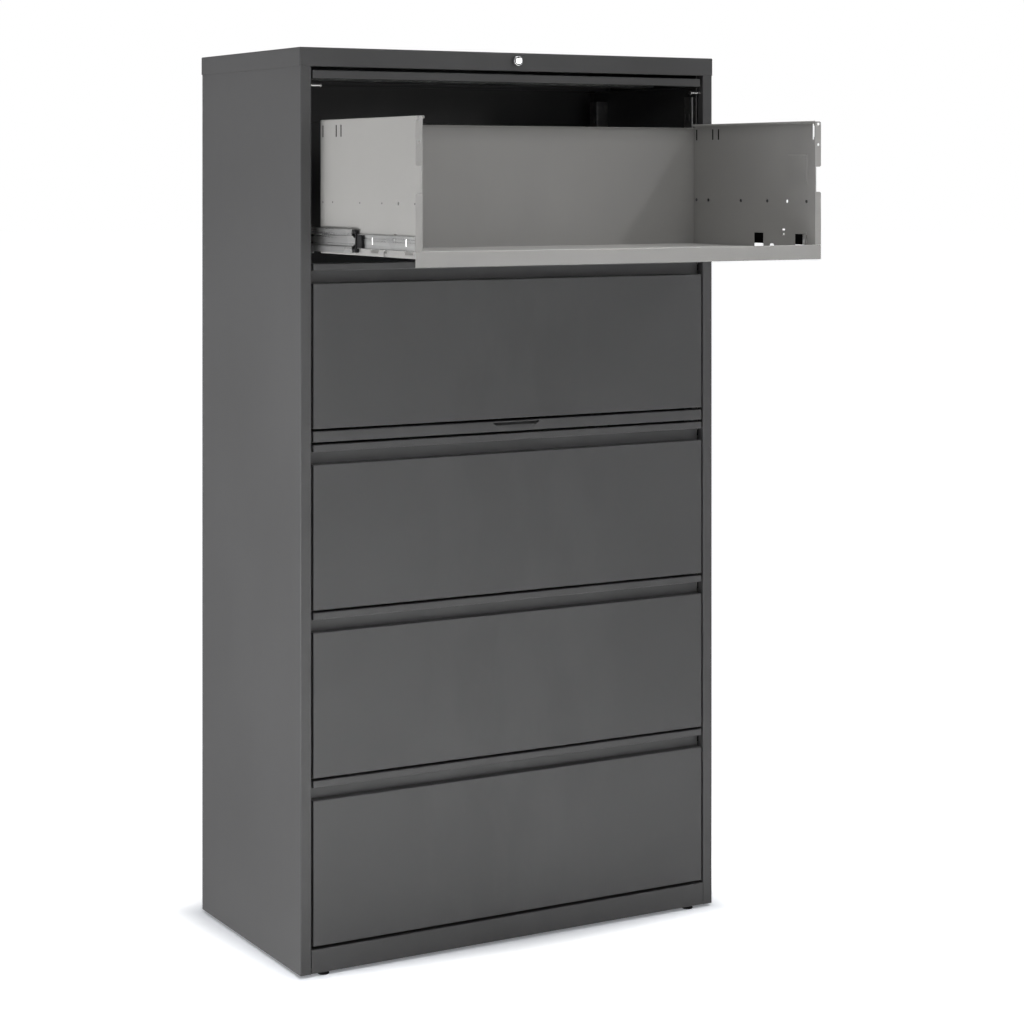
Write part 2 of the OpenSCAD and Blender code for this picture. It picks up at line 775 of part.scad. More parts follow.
// Saddles that keep the rod against the post
module rod_guides() {
    color("black") placed() difference() {
        for (z = latch_tabs)
            box([rod_x - rod_d / 2 - 0.1, rod_y, z + 30], [rod_x + 7, front_upright_y - seat, z + 42]);
        translate([rod_x, rod_y, 0]) cylinder(d = rod_d + 0.8, h = case_h);
        for (z = latch_tabs)
            box([rod_x - 5, rod_y - 1, z + 29], [rod_x + 1.8, rod_y, z + 43]);
    }
}

// ---------------------------------------------------------------- glides

glide_front_y = 12.5;
glide_rear_y = case_d - 24;
bracket_t = 3;
nut_h = 4.4;

module bracket(x, y, z, reach) {
    translate([x, y, z]) difference() {
        union() {
            translate([-22, reach[0], 0]) cube([44, reach[1] - reach[0], bracket_t]);
            translate([0, 0, bracket_t]) cylinder(d = stem_d + 7, h = nut_h, $fn = 6);
        }
        translate([0, 0, -1]) cylinder(d = stem_d + 2 * fit, h = 20);
    }
}

module glide_brackets() {
    color("gray") placed() for (side = [-1, 1]) {
        x = side * (half_w - glide_inset);
        bracket(x, glide_front_y, foot_h + sheet_t + seat, [-11, 7]);
        bracket(x, glide_rear_y, foot_h + 2, [-18, 18]);
    }
}

module glide(side, y) {
    color("black") placed() translate([side * (half_w - glide_inset), y, 0]) {
        cylinder(d1 = glide_d - 2, d2 = glide_d, h = 1);
        translate([0, 0, 1]) cylinder(d = glide_d, h = 1.5);
        translate([0, 0, 2.5]) cylinder(d1 = glide_d, d2 = stem_d + 5, h = foot_h - 3);
        translate([0, 0, 2]) cylinder(d = stem_d, h = foot_h + 15);
    }
}

// ---------------------------------------------------------------- nodes

side_panel(-1);  // left_side_panel
side_panel(1);  // right_side_panel
back_panel();
top_cap();
header_rail();
base_rail();
base_pan();
uprights();
door_tracks();
door_support_studs();
slide_outers();
posting_shelf_guides();
glide_brackets();
rod_guides();
lock_housing();
panel_rivets();
door_panel();
door_stiffener();
door_pivot_pins();
rollout_tray();
rollout_lip();
rollout_side(-1);  // rollout_left_side
rollout_side(1);  // rollout_right_side
slide_inner(1, rollout_out);  // slide_inner_1
slide_middle(1, rollout_out);  // slide_middle_1
slide_latches(1, rollout_out);  // slide_latches_1
for (i = [2:5]) {
    drawer_front(i);
    drawer_tray(i);
    drawer_sides(i);
    hang_rails(i);
    slide_inner(i);
    slide_middle(i);
}
posting_shelf_front();
posting_shelf_tray();
lock_plug();
lock_cam();
lock_link();
lock_rod();
glide(-1, glide_front_y);  // glide_front_left
glide(1, glide_front_y);  // glide_front_right
glide(-1, glide_rear_y);  // glide_rear_left
glide(1, glide_rear_y);  // glide_rear_right
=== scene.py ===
import json
import math
import bmesh
import bpy
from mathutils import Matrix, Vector


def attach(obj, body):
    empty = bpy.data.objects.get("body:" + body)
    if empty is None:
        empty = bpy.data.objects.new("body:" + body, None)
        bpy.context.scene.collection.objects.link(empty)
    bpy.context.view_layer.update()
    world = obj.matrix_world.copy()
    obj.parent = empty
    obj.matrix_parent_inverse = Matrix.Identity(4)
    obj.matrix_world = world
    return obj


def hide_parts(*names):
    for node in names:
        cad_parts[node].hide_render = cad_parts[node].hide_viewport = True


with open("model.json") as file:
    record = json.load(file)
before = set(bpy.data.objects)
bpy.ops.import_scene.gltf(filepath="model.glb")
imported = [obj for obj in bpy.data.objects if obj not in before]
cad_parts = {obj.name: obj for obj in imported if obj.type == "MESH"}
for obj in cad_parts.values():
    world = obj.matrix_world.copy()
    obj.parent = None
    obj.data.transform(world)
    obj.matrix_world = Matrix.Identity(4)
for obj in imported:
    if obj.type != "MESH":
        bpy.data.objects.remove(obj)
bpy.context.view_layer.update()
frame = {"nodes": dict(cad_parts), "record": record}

print("filing cabinet: frame loaded")

camera = {"place": (-2.3262, -4.3048, 1.4808), "turn": -29.66, "lens": 85.18, "shiftY": -0.3288}

cameraData = bpy.data.cameras.new("camera")
cameraData.sensor_width = 36
cameraData.lens = camera["lens"]
cameraData.shift_y = camera["shiftY"]
cameraData.clip_end = 200
cameraObject = bpy.data.objects.new("camera", cameraData)
cameraObject.location = camera["place"]
cameraObject.rotation_euler = (math.radians(90), 0, math.radians(camera["turn"]))
bpy.context.scene.collection.objects.link(cameraObject)
bpy.context.scene.camera = cameraObject
bpy.context.scene.view_settings.view_transform = "Standard"
print("camera set")

# sizes that the pieces share with the frame, in millimetres
cabinet = {
    "halfWidth": 457.2, "halfDepth": 236.55, "bayFoot": 1323.0, "shelfOut": 425.7,
    "slideX": 428.4, "sideX": 415.7, "slideRise": 39.5, "lockHeight": 1701.6, "plateThickness": 1,
}
drawerFeet = {5: 55.7, 4: 366.1, 3: 676.5, 2: 1011.7}
unitFeet = {1: cabinet["bayFoot"], **drawerFeet}  # unit 1 is the roll-out shelf


def at(x, back, z):  # from millimetres to metres, with back counted from the front plane
    return Vector((x, back - cabinet["halfDepth"], z)) * 0.001


class Wire:
    def __init__(self, graph, socket):
        self.graph = graph
        self.socket = socket

    def calc(self, operation, first, second=0.0):
        return self.graph.add("ShaderNodeMath", {"operation": operation}, {0: first, 1: second})

    def __add__(self, other):
        return self.calc("ADD", self, other)

    def __radd__(self, other):
        return self.calc("ADD", other, self)

    def __sub__(self, other):
        return self.calc("SUBTRACT", self, other)

    def __rsub__(self, other):
        return self.calc("SUBTRACT", other, self)

    def __mul__(self, other):
        return self.calc("MULTIPLY", self, other)

    def __rmul__(self, other):
        return self.calc("MULTIPLY", other, self)

    def __abs__(self):
        return self.calc("ABSOLUTE", self)

    def __pow__(self, other):
        return self.calc("POWER", self, other)

    def atLeast(self, other):
        return self.calc("MAXIMUM", self, other)

    def between(self, low, high):  # 0 at low, 1 at high, eased
        return self.graph.add("ShaderNodeMapRange", {"interpolation_type": "SMOOTHSTEP"},
                              {0: self, 1: low, 2: high})


class Graph:
    def __init__(self, owner):
        owner.use_nodes = True
        self.owner = owner
        self.tree = owner.node_tree
        self.tree.nodes.clear()

    def add(self, kind, settings=None, inputs=None, output=0):
        node = self.tree.nodes.new(kind)
        for key, value in (settings or {}).items():
            setattr(node, key, value)
        for key, value in (inputs or {}).items():
            if isinstance(value, Wire):
                self.tree.links.new(value.socket, node.inputs[key])
            else:
                node.inputs[key].default_value = value
        return Wire(self, node.outputs[output]) if len(node.outputs) else None


class Finish(Graph):
    def __init__(self, name):
        super().__init__(bpy.data.materials.new(name))
        self.place = self.add("ShaderNodeTexCoord", output="Object")

    def stretched(self, factors):
        return self.add("ShaderNodeMapping", inputs={"Vector": self.place, "Scale": factors})

    def noise(self, scale, detail=2.0, roughness=0.5, stretch=None):
        place = self.stretched(stretch) if stretch else self.place
        return self.add("ShaderNodeTexNoise", inputs={
            "Vector": place, "Scale": scale, "Detail": detail, "Roughness": roughness})

    def cells(self, scale, output="Distance"):
        return self.add("ShaderNodeTexVoronoi", inputs={"Vector": self.place, "Scale": scale}, output=output)

    def along(self, axis):
        return self.add("ShaderNodeSeparateXYZ", inputs={0: self.place}, output=axis)

    def facing(self, axis):  # how far the surface faces along an axis
        normal = self.add("ShaderNodeNewGeometry", output="Normal")
        return self.add("ShaderNodeVectorMath", {"operation": "DOT_PRODUCT"}, {0: normal, 1: axis}, "Value")

    def blend(self, factor, first, second):
        return self.add("ShaderNodeMix", {"data_type": "RGBA"}, {0: factor, 6: first, 7: second}, 2)

    def bump(self, height, distance, strength=1.0):
        return self.add("ShaderNodeBump", inputs={"Height": height, "Distance": distance, "Strength": strength})

    def close(self, shader):
        self.add("ShaderNodeOutputMaterial", inputs={"Surface": shader})
        return self.owner

    def surface(self, inputs):
        return self.close(self.add("ShaderNodeBsdfPrincipled", inputs=inputs))


def rgba(colour, gain=1.0):
    return (colour[0] * gain, colour[1] * gain, colour[2] * gain, 1.0)


caseCoat = {"colour": (0.070, 0.070, 0.0715), "roughness": 0.40, "peel": 620, "peelDepth": 0.00010,
            "mottle": 0.05, "dust": 0.05, "rub": 0.16}
shelfCoat = {"colour": (0.335, 0.330, 0.320), "roughness": 0.46, "peel": 700, "peelDepth": 0.00008,
             "mottle": 0.03, "dust": 0.03, "rub": 0.04}
dustColour = (0.62, 0.60, 0.57)
rubReach = (0.06, 0.36)  # metres from the middle


def powderCoat(name, look):
    f = Finish(name)
    x = f.along("X")
    cloud = f.noise(2.6, 3, 0.55)                 # slow change of tone over a panel
    grain = f.noise(look["peel"], 3, 0.6)         # orange peel
    fleck = f.cells(look["peel"] * 1.7)           # coarse grains of powder
    smear = f.noise(9, 4, 0.6, (1, 1, 0.35))
    tone = f.blend(cloud.between(0.32, 0.68), rgba(look["colour"], 1 - look["mottle"]),
                   rgba(look["colour"], 1 + look["mottle"]))
    tone = f.blend(fleck.between(0.0, 0.22) * -0.25 + 0.25, tone, rgba(look["colour"], 1.35))
    dust = f.facing((0, 0, 1)).between(0.80, 0.98) * f.noise(34, 5, 0.65).between(0.36, 0.72) * look["dust"]
    tone = f.blend(dust, tone, rgba(dustColour))
    # hands polish the middle of each front near its pull
    nearPull = 1 - abs(x).between(*rubReach)
    rub = nearPull * smear.between(0.40, 0.62) * f.facing((0, -1, 0)).between(0.7, 0.95)
    tone = f.blend(rub * look["rub"], tone, rgba(look["colour"], 1.5))
    roughness = look["roughness"] + (cloud - 0.5) * 0.10 + dust * 1.6 - rub * 0.06 + (smear - 0.5) * 0.05
    normal = f.bump(grain * 0.7 + fleck * 0.3, look["peelDepth"], 0.55)
    return f.surface({"Base Color": tone, "Roughness": roughness, "Normal": normal, "IOR": 1.48})


zincLook = {"colour": (0.34, 0.345, 0.35), "bright": (0.46, 0.46, 0.45), "roughness": 0.44, "spangle": 95}
slideLook = {"colour": (0.50, 0.50, 0.502), "bright": (0.66, 0.66, 0.652), "roughness": 0.29, "spangle": 30}
# the lock rod's steel is darkened: painted shade for the dark inside of the case round it
rodShadeLook = {"colour": (0.10, 0.10, 0.10), "bright": (0.17, 0.17, 0.17), "roughness": 0.42, "spangle": 40}
brightLook = {"colour": (0.58, 0.58, 0.57), "bright": (0.72, 0.72, 0.71), "roughness": 0.24, "spangle": 12}


def rolledSteel(name, look, grainWay=(220, 3, 220)):
    f = Finish(name)
    streak = f.noise(1.0, 4, 0.62, grainWay)      # drawn lines along the length
    fine = f.noise(1.0, 2, 0.5, tuple(4.2 * way for way in grainWay))
    patch = f.cells(look["spangle"], "Color")
    patchTone = f.add("ShaderNodeSeparateColor", inputs={0: patch}, output=0)
    film = f.noise(7, 4, 0.6)
    mix = streak * 0.55 + patchTone * 0.25 + fine * 0.2
    tone = f.blend(mix.between(0.28, 0.72), rgba(look["colour"]), rgba(look["bright"]))
    tone = f.blend(film.between(0.56, 0.80) * 0.22, tone, rgba(look["colour"], 0.72))
    roughness = look["roughness"] + (streak - 0.5) * 0.22 + (film - 0.5) * 0.16
    normal = f.bump(streak * 0.7 + fine * 0.3, 0.00006, 0.45)
    return f.surface({"Base Color": tone, "Metallic": 1.0, "Roughness": roughness, "Normal": normal})


chromeLook = {"colour": (0.74, 0.74, 0.75), "roughness": 0.07}


def polishedChrome(name, look):
    f = Finish(name)
    haze = f.noise(60, 4, 0.6)
    swirl = f.noise(1.0, 3, 0.6, (900, 60, 900))
    tone = f.blend(haze.between(0.45, 0.8) * 0.35, rgba(look["colour"]), rgba(look["colour"], 0.86))
    roughness = look["roughness"] + haze.between(0.42, 0.85) * 0.09 + swirl.between(0.6, 0.8) * 0.04
    return f.surface({"Base Color": tone, "Metallic": 1.0, "Roughness": roughness,
                      "Normal": f.bump(swirl, 0.00002, 0.2)})


plasticLook = {"colour": (0.010, 0.010, 0.011), "roughness": 0.60, "grain": 2400, "shine": 0.25}
# near black and matte: painted shade for slots, grooves and windows that sit in shadow
gapShadeLook = {"colour": (0.002, 0.002, 0.002), "roughness": 0.90, "grain": 900, "shine": 0.03}


def plasticAndShadeFinish(name, look):
    f = Finish(name)
    grain = f.cells(look["grain"])
    wear = f.noise(140, 3, 0.6)
    tone = f.blend(wear.between(0.50, 0.85) * 0.5, rgba(look["colour"]), rgba(look["colour"], 2.2))
    roughness = look["roughness"] + (wear - 0.5) * 0.2
    return f.surface({"Base Color": tone, "Roughness": roughness, "Specular IOR Level": look["shine"],
                      "Normal": f.bump(grain, 0.00008, 0.5)})


finishes = {
    "case_paint": powderCoat("charcoalPowderCoat", caseCoat),
    "shelf_paint": powderCoat("lightGreyPowderCoat", shelfCoat),
    "zinc_plate": rolledSteel("zincPlatedSteel", zincLook, (40, 40, 40)),
    "slide_steel": rolledSteel("rolledSlideSteel", slideLook),
    "bright_steel": rolledSteel("brightTurnedSteel", brightLook, (500, 500, 60)),
    "chrome": polishedChrome("polishedChrome", chromeLook),
    "black_plastic": plasticAndShadeFinish("blackMouldedPlastic", plasticLook),
}
# painted shade, used for the dark fills and sheets put where the gaps are in shadow
slotShade = plasticAndShadeFinish("slotShade", gapShadeLook)
# the lock rod takes the darkened steel, painted shade where it stands in shadow
ownFinish = {"lock_rod": rolledSteel("rodSteelPaintedShade", rodShadeLook)}
print("finishes made")

# the frame's own pieces get softened edges, clean shading and a finish each
edges = {"soften": 0.00028, "steps": 2, "corner": 38, "weld": 0.000004, "weight": 60}

slotOf = {part["node"]: part["material_slot"] for part in frame["record"]["subparts"]}


def smoothEdges(piece, soften=edges["soften"]):
    mesh = piece.data
    for name in ("custom_normal", "sharp_edge", "sharp_face"):
        if name in mesh.attributes:
            mesh.attributes.remove(mesh.attributes[name])
    for face in mesh.polygons:
        face.use_smooth = True
    weld = piece.modifiers.new("weld", "WELD")
    weld.merge_threshold = edges["weld"]
    if soften:
        bevel = piece.modifiers.new("soften", "BEVEL")
        bevel.width = soften
        bevel.segments = edges["steps"]
        bevel.limit_method = "ANGLE"
        bevel.angle_limit = math.radians(edges["corner"])
        bevel.use_clamp_overlap = True
    shade = piece.modifiers.new("shade", "WEIGHTED_NORMAL")
    shade.mode = "FACE_AREA"
    shade.weight = edges["weight"]


def dressFrame():
    for name, piece in frame["nodes"].items():
        piece.data.materials.clear()
        piece.data.materials.append(ownFinish.get(name, finishes[slotOf[name]]))
        smoothEdges(piece)


dressFrame()
print("frame pieces dressed:", len(frame["nodes"]))


def anglesOf(steps):
    return [math.tau * i / steps for i in range(steps)]


def frameFor(way):
    along = Vector(way).normalized()
    across = along.orthogonal().normalized()
    return across, along.cross(across), along


class Former:
    def __init__(self):
        self.mesh = bmesh.new()

    def ring(self, points):
        return [self.mesh.verts.new(point) for point in points]

    def skin(self, rings):
        for low, high in zip(rings, rings[1:]):
            for i in range(len(low)):
                j = (i + 1) % len(low)
                self.mesh.faces.new((low[i], low[j], high[j], high[i]))

    def lid(self, ring):
        self.mesh.faces.new(ring)

    def tube(self, outlines):  # closed skin through a list of outlines
        rings = [self.ring(points) for points in outlines]
        self.skin(rings)
        self.lid(rings[0])
        self.lid(rings[-1])

    # profile: pairs of radius and height along way, in millimetres
    def turned(self, base, way, profile, steps, hollow=False):
        across, up, along = frameFor(way)
        spokes = [across * math.cos(a) + up * math.sin(a) for a in anglesOf(steps)]
        rings = [self.ring([base + (along * height + spoke * radius) * 0.001 for spoke in spokes])
                 for radius, height in profile]
        if hollow:
            self.skin(rings + [rings[0]])
        else:
            self.skin(rings)
            self.lid(rings[0])
            self.lid(rings[-1])

    def plate(self, low, high):  # box between two corners
        (x0, y0, z0), (x1, y1, z1) = low, high
        self.tube([[Vector((x0, y, z0)), Vector((x1, y, z0)), Vector((x1, y, z1)), Vector((x0, y, z1))]
                   for y in (y0, y1)])

    def done(self, name, slotName, body, replaces=(), finish=None):
        bmesh.ops.recalc_face_normals(self.mesh, faces=self.mesh.faces)
        mesh = bpy.data.meshes.new(name)
        self.mesh.to_mesh(mesh)
        self.mesh.free()
        piece = bpy.data.objects.new(name, mesh)
        bpy.context.scene.collection.objects.link(piece)
        mesh.materials.append(finish or finishes[slotName])
        smoothEdges(piece, 0)
        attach(piece, body)
        if replaces:
            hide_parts(*replaces)


lockFace = {"flange": 10.0, "proud": 10.0, "bore": 6.05, "barrel": 8.8, "tail": 23.0, "groove": 7.5,
            "grooveDepth": 2.4, "nut": 13.5, "nutBack": (2.7, 6.5), "keyway": (0.85, 4.0), "keyDepth": 3.0}


def makeLock():
    look = lockFace
    centre = at(0, 0, cabinet["lockHeight"])
    front, edge, groove = look["proud"], look["flange"], look["groove"]
    shell = Former()
    bore, barrel, grooveFoot = look["bore"], look["barrel"], front - look["grooveDepth"]
    shell.turned(centre, (0, -1, 0), [
        (bore, -look["tail"]), (barrel - 0.5, -look["tail"]), (barrel, -look["tail"] + 0.5),
        (barrel, 0.02), (edge - 0.35, 0.02), (edge, 0.4),             # the barrel's step out to the bezel
        (edge, front - 1.7), (edge - 0.2, front - 1.0), (edge - 0.65, front - 0.45),
        (edge - 1.2, front - 0.1), (edge - 1.6, front),               # the bezel's rounded edge
        (groove + 0.25, front - 0.1), (groove, front - 0.5), (groove - 0.1, grooveFoot),
        (bore + 0.4, grooveFoot), (bore + 0.3, front - 0.9), (bore, front - 0.95)], 64, hollow=True)
    # the hexagonal nut that holds the barrel from behind
    outlines = [[(math.cos(a) * reach, math.sin(a) * reach) for a in anglesOf(6)]
                for reach in (barrel, look["nut"])]
    near, far = look["nutBack"]
    rings = [shell.ring([centre + Vector((px, back, pz)) * 0.001 for px, pz in outlines[which]])
             for which, back in ((0, near), (1, near), (1, far), (0, far))]
    shell.skin(rings + [rings[0]])
    shell.done("lock_shell", "chrome", "case", replaces=["lock_housing"])
    # a black ring at the foot of the bezel's groove: painted shade in the groove
    ring = Former()
    inner, outer = bore + 0.45, groove - 0.15
    ring.turned(centre, (0, -1, 0), [(inner, grooveFoot + 0.02), (outer, grooveFoot + 0.02),
                                     (outer, front - 1.1), (inner, front - 1.1)], 48, hollow=True)
    ring.done("lock_groove_shade", "black_plastic", "case", finish=slotShade)
    # a black plate inside the keyway: painted shade in the keyway
    key = Former()
    halfKey, reachKey = look["keyway"]
    key.plate(centre + Vector((-halfKey, -front - 0.1, -reachKey)) * 0.001,
              centre + Vector((halfKey, -front + look["keyDepth"], reachKey)) * 0.001)
    key.done("lock_keyway_shade", "black_plastic", "lock", finish=slotShade)
    print("lock made")


makeLock()

slideBalls = {"pitch": 22, "first": 6, "last": 4, "steps": 10, "cageThick": 0.5, "cageHalf": 1.0,
              "outer": {"ball": 1.35, "run": (246, 444), "rise": 23.3, "inset": 5.6},
              "inner": {"ball": 3.2, "run": (70, 200), "rise": 16.8, "inset": 8.6}}


def ballProfile(radius):
    return [(radius * math.cos(a), radius * math.sin(a))
            for a in (math.radians(d) for d in (-80, -55, -30, 0, 30, 55, 80))]


def makeBalls(unit, body):
    look = slideBalls
    middle = unitFeet[unit] + cabinet["slideRise"]
    shift = cabinet["shelfOut"] / 2 if unit == 1 else 0
    balls, cages = Former(), Former()
    for side in (-1, 1):
        for race in (look["outer"], look["inner"]):
            start, end = race["run"]
            x = side * (cabinet["slideX"] - race["inset"])
            for up in (-1, 1):
                z = middle + up * race["rise"]
                back = start + look["first"]
                while back < end - look["last"]:
                    balls.turned(at(x, back - shift, z), (0, 0, 1), ballProfile(race["ball"]), look["steps"])
                    back += look["pitch"]
                cages.plate(at(x - look["cageHalf"], start - shift, z - look["cageThick"] / 2),
                            at(x + look["cageHalf"], end - shift, z + look["cageThick"] / 2))
    balls.done(f"slide_balls_{unit}", "bright_steel", body)
    cages.done(f"slide_cages_{unit}", "zinc_plate", body)


makeBalls(1, "rollout_slide_middles")
for unit in drawerFeet:
    makeBalls(unit, f"drawer_{unit}_slide_middles")
print("slide balls and cages made")

shelfPlate = {"front": 22 - cabinet["shelfOut"], "foot": cabinet["bayFoot"] + 14, "height": 246,
              "holes": (27, 153, 241, 354.1, 396.1), "holeHeight": 94.5, "head": 3.1, "headHeight": 1.5}


def crossHead(maker, base, way, radius, height):  # pan head with a cross recess
    across, up, along = frameFor(way)

    def outline(reach, lift):
        return maker.ring([base + (along * lift + (across * math.cos(a) + up * math.sin(a)) * reach(a)) * 0.001
                           for a in anglesOf(32)])

    def cross(scale):
        return lambda a: radius * scale * (0.18 + 0.34 * abs(math.cos(2 * a)) ** 6)

    # shank, then the round of the head, each as a share of the radius and a height
    rows = ((0.52, -1.2), (0.52, 0.0), (1, 0.02), (1, height * 0.35), (0.93, height * 0.72),
            (0.74, height * 0.95))
    rings = [outline(lambda a: radius * share, lift) for share, lift in rows]
    rings += [outline(cross(1.0), height), outline(cross(0.75), height * 0.35)]
    maker.skin(rings)
    maker.lid(rings[0])
    maker.lid(rings[-1])


darkScrewLook = {"colour": (0.05, 0.05, 0.054), "bright": (0.13, 0.13, 0.14), "roughness": 0.28, "spangle": 60}


def makePlateScrews():
    look = shelfPlate
    screwSteel = rolledSteel("darkScrewSteel", darkScrewLook, (300, 300, 300))
    for side in (-1, 1):
        maker = Former()
        for hole in look["holes"]:
            base = at(side * (cabinet["sideX"] - cabinet["plateThickness"]), look["front"] + hole,
                      look["foot"] + look["holeHeight"])
            crossHead(maker, base, (-side, 0, 0), look["head"], look["headHeight"])
        maker.done("rollout_screws_" + ("left" if side < 0 else "right"), "bright_steel", "rollout_shelf",
                   finish=screwSteel)


makePlateScrews()

shadedSlotPlates = {"places": (319.1, 339.1, 396.1), "width": 4.1, "top": 10.2, "tall": 21.6, "depth": (0.85, 0.25)}


# black plates behind the slots of the file sides: painted shade where the slots look into shadow
def makeSlotShadePlates():
    look = shadedSlotPlates
    maker = Former()
    top = shelfPlate["foot"] + shelfPlate["height"] - look["top"]
    inner, outer = (cabinet["sideX"] - depth for depth in look["depth"])
    for side in (-1, 1):
        for place in look["places"]:
            back = shelfPlate["front"] + place
            low = at(side * inner, back - look["width"] / 2, top - look["tall"])
            high = at(side * outer, back + look["width"] / 2, top)
            maker.plate(low, high)
    maker.done("rollout_slot_shade_plates", "black_plastic", "rollout_shelf", finish=slotShade)


makeSlotShadePlates()

lanceTabs = {"places": (78.1, 209.5), "gap": 0.2, "width": 4.6, "low": -4.8, "high": 7.8,
             "out": (1.15, 0.6), "lean": 0.25, "thick": 0.4}


def makeLanceTabs():  # tabs lanced within the slots of the shelf's slide member
    look = lanceTabs
    face = cabinet["sideX"]
    middle = unitFeet[1] + cabinet["slideRise"]
    rearOut, frontOut = look["out"]
    maker = Former()
    for side in (-1, 1):
        for place in look["places"]:
            front = place + look["gap"] - cabinet["shelfOut"]
            rear = front + look["width"]
            outlines = []
            for z, lean in ((look["low"], -look["lean"]), (look["high"], 0)):
                outlines.append([at(side * (face + frontOut + lean), front, middle + z),
                                 at(side * (face + rearOut + lean), rear, middle + z),
                                 at(side * (face + rearOut + lean - look["thick"]), rear, middle + z),
                                 at(side * (face + frontOut + lean - look["thick"]), front, middle + z)])
            maker.tube(outlines)
    # the tabs take polished chrome in place of slide steel, a brighter stand-in so they show as bright
    # highlights
    maker.done("slide_tabs_1", "slide_steel", "rollout_shelf", finish=finishes["chrome"])


makeLanceTabs()

windowShadePads = {"windows": ((41.5, 63.5), (166.9, 196.5)), "tabs": ((34.0, 40.0),),
              "foot": 12.8, "top": 32.8, "tabFoot": 17.0, "depth": (0.06, 0.75)}


def makeWindowShadePads():  # dark pads between the slide and the windows of the file sides, painted shade behind the windows
    look = windowShadePads
    near, far = (cabinet["sideX"] - depth for depth in look["depth"])
    for name, spans, foot, finish in (("shade_pads", look["windows"], look["foot"], slotShade),
                                      # the hooks take polished chrome in place of slide steel, a brighter
                                      # stand-in that shows as a highlight
                                      ("hooks", look["tabs"], look["tabFoot"], finishes["chrome"])):
        maker = Former()
        for side in (-1, 1):
            for front, rear in spans:
                maker.plate(at(side * near, shelfPlate["front"] + front, shelfPlate["foot"] + foot),
                            at(side * far, shelfPlate["front"] + rear, shelfPlate["foot"] + look["top"]))
        maker.done(f"rollout_window_{name}", "slide_steel" if name == "hooks" else "black_plastic",
                   "rollout_shelf", finish=finish)


makeWindowShadePads()

pressing = {"corners": ((22.5, 126), (88, 184), (22.5, 184)), "height": 2.6, "slope": 2.4, "round": 4.0}


def roundedCorners(corners, radius, inset):  # a polygon drawn in by inset, with a curve at each corner
    points = []
    count = len(corners)
    steps = 5
    middle = Vector((sum(c[0] for c in corners) / count, sum(c[1] for c in corners) / count))
    spokes = [Vector(corner) - middle for corner in corners]
    inner = [middle + spoke * (1 - inset * 2.0 / spoke.length) for spoke in spokes]
    for i in range(count):
        before, here, after = inner[i - 1], inner[i], inner[(i + 1) % count]
        start = here + (before - here).normalized() * radius
        end = here + (after - here).normalized() * radius
        for t in (step / steps for step in range(steps + 1)):
            points.append(start * (1 - t) ** 2 + here * 2 * t * (1 - t) + end * t ** 2)
    return points


def makePressings():  # raised triangles near the front edges of the file sides
    look = pressing
    for side in (-1, 1):
        maker = Former()
        face = cabinet["sideX"] - cabinet["plateThickness"]
        outlines = []
        for inset, rise in ((0.0, -0.02), (look["slope"] * 0.25, look["height"] * 0.12),
                            (look["slope"] * 0.75, look["height"] * 0.88), (look["slope"], look["height"])):
            outlines.append([at(side * (face - rise), shelfPlate["front"] + y, shelfPlate["foot"] + z)
                             for y, z in roundedCorners(look["corners"], look["round"], inset)])
        maker.tube(outlines)
        maker.done("rollout_pressing_" + ("left" if side < 0 else "right"), "shelf_paint", "rollout_shelf")


makePressings()
print("roll-out shelf details made")

thread = {"radius": 4.0, "sunk": 0.12, "lift": 0.1, "depth": 0.35, "pitch": 1.25, "crestHalf": 0.1,
          "rootHalf": 0.42, "start": 5.2, "end": 20.6, "steps": 16, "fadeSteps": 8}
glidePlaces = {"front_left": (-405.2, 12.5), "front_right": (405.2, 12.5),
               "rear_left": (-405.2, 449.1), "rear_right": (405.2, 449.1)}


def makeThread(name, place):
    look = thread
    maker = Former()
    base = at(place[0], place[1], 0)
    turns = (look["end"] - look["start"]) / look["pitch"]
    count = int(turns * look["steps"])
    outlines = []
    low = look["radius"] - look["sunk"]
    for i in range(count + 1):
        angle = math.tau * i / look["steps"]
        height = look["start"] + look["pitch"] * i / look["steps"]
        outward = Vector((math.cos(angle), math.sin(angle), 0))
        fade = min(1.0, i / look["fadeSteps"], (count - i) / look["fadeSteps"])
        crest = low + look["lift"] + look["depth"] * fade
        outlines.append([base + (outward * r + Vector((0, 0, height + h))) * 0.001
                         for r, h in ((low, -look["rootHalf"]), (crest, -look["crestHalf"]),
                                      (crest, look["crestHalf"]), (low, look["rootHalf"]))])
    maker.tube(outlines)
    maker.done(f"glide_thread_{name}", "bright_steel", f"glide_{name}")


for name, place in glidePlaces.items():
    makeThread(name, place)
print("glide threads made")

